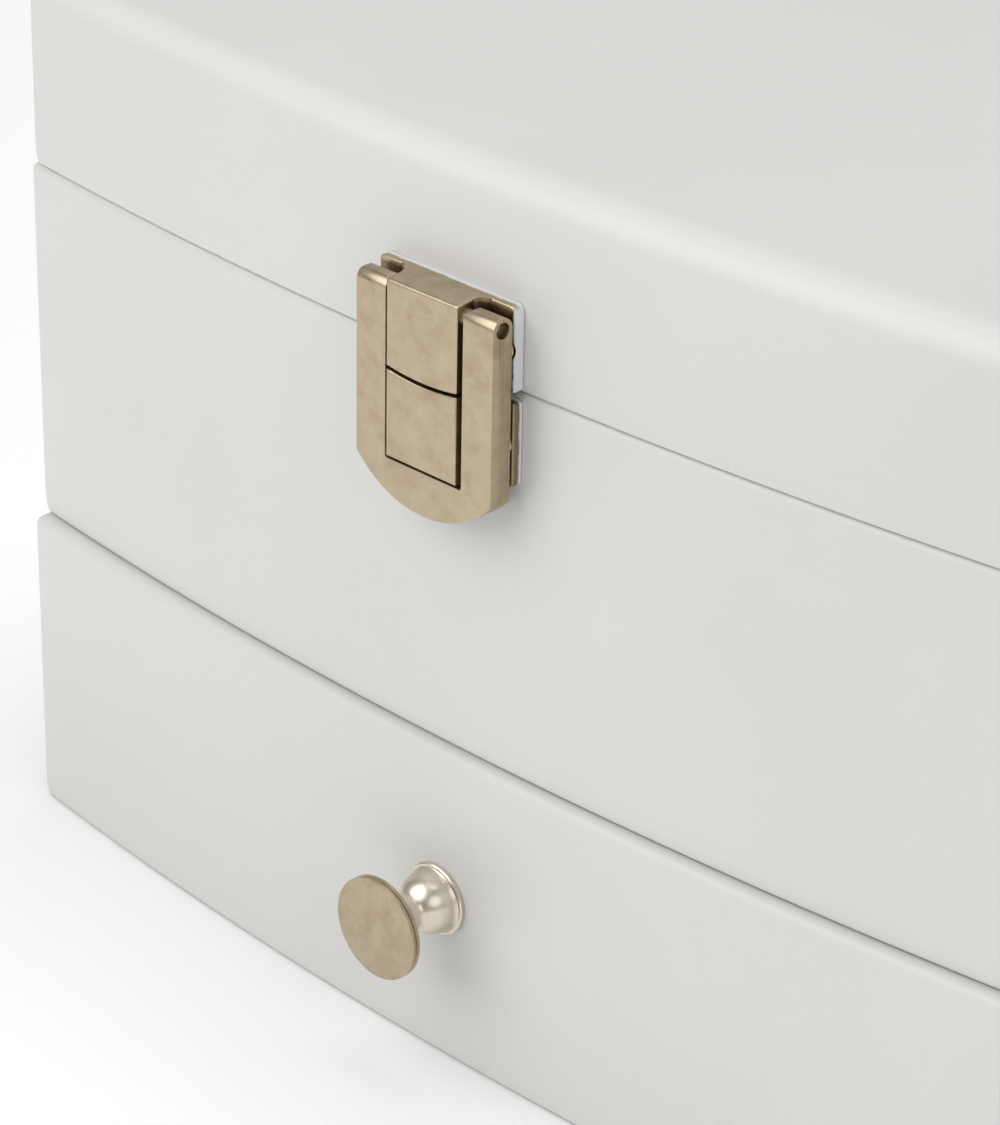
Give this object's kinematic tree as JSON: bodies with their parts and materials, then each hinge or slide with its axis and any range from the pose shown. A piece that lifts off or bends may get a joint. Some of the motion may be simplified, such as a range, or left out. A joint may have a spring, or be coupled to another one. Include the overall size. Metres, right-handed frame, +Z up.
{
  "type": "jewellery chest with drawer",
  "caption": "Small white bow-fronted jewellery chest with a hinged lid, a swing latch over a catch, and a shallow drawer pulled by a round knob.",
  "frame": {"origin": "centre of the footprint on the surface the chest rests on", "axes": "+X to the chest's left-right length as seen from the front, front faces -Y, +Z up"},
  "size_m": [0.174, 0.1393, 0.1245],
  "materials": {
    "white_paint": "satin white paint on fibreboard",
    "bare_wood": "bare sanded wood",
    "satin_nickel": "warm satin nickel plate",
    "velvet": "short pile velvet",
    "felt": "pressed felt",
    "mirror_glass": "silvered glass"
  },
  "bodies": {
    "case": {"base_felt": "felt", "base_panel": "white_paint", "left_side_panel": "white_paint", "right_side_panel": "white_paint", "back_panel": "white_paint", "divider_shelf": "white_paint", "front_apron": "white_paint", "drawer_guides": "bare_wood", "drawer_stop": "bare_wood", "compartment_lining": "velvet", "compartment_floor_pad": "velvet", "compartment_dividers": "velvet", "ring_rolls": "velvet", "latch_catch_plate": "satin_nickel", "latch_case_nails": "satin_nickel", "hinge_case_leaves": "satin_nickel", "hinge_pins": "satin_nickel", "hinge_case_screws": "satin_nickel"},
    "lid": {"lid_top_panel": "white_paint", "lid_front_rail": "white_paint", "lid_left_rail": "white_paint", "lid_right_rail": "white_paint", "lid_back_rail": "white_paint", "lid_mirror": "mirror_glass", "mirror_frame": "white_paint", "latch_lid_plate": "satin_nickel", "latch_lid_nails": "satin_nickel", "hinge_lid_leaves": "satin_nickel", "hinge_lid_screws": "satin_nickel"},
    "latch_bail": {"latch_bail": "satin_nickel", "latch_pin": "satin_nickel"},
    "drawer": {"drawer_front": "white_paint", "drawer_left_side": "bare_wood", "drawer_right_side": "bare_wood", "drawer_back": "bare_wood", "drawer_bottom": "bare_wood", "drawer_floor_pad": "velvet", "drawer_dividers": "velvet", "drawer_knob": "satin_nickel", "knob_screw": "satin_nickel"}
  },
  "joints": [
    {"name": "lid_hinge", "type": "hinge", "parent": "case", "child": "lid", "pos_m": [0, 0.06, 0.098], "axis": [-1, 0, 0], "range_deg": [0, 95]},
    {"name": "latch_swing", "type": "hinge", "parent": "lid", "child": "latch_bail", "pos_m": [0.00045, -0.067, 0.10735], "axis": [-1, 0, 0], "range_deg": [0, 170]},
    {"name": "drawer_slide", "type": "slide", "parent": "case", "child": "drawer", "axis": [0, -1, 0], "range_m": [0, 0.0875]}
  ]
}
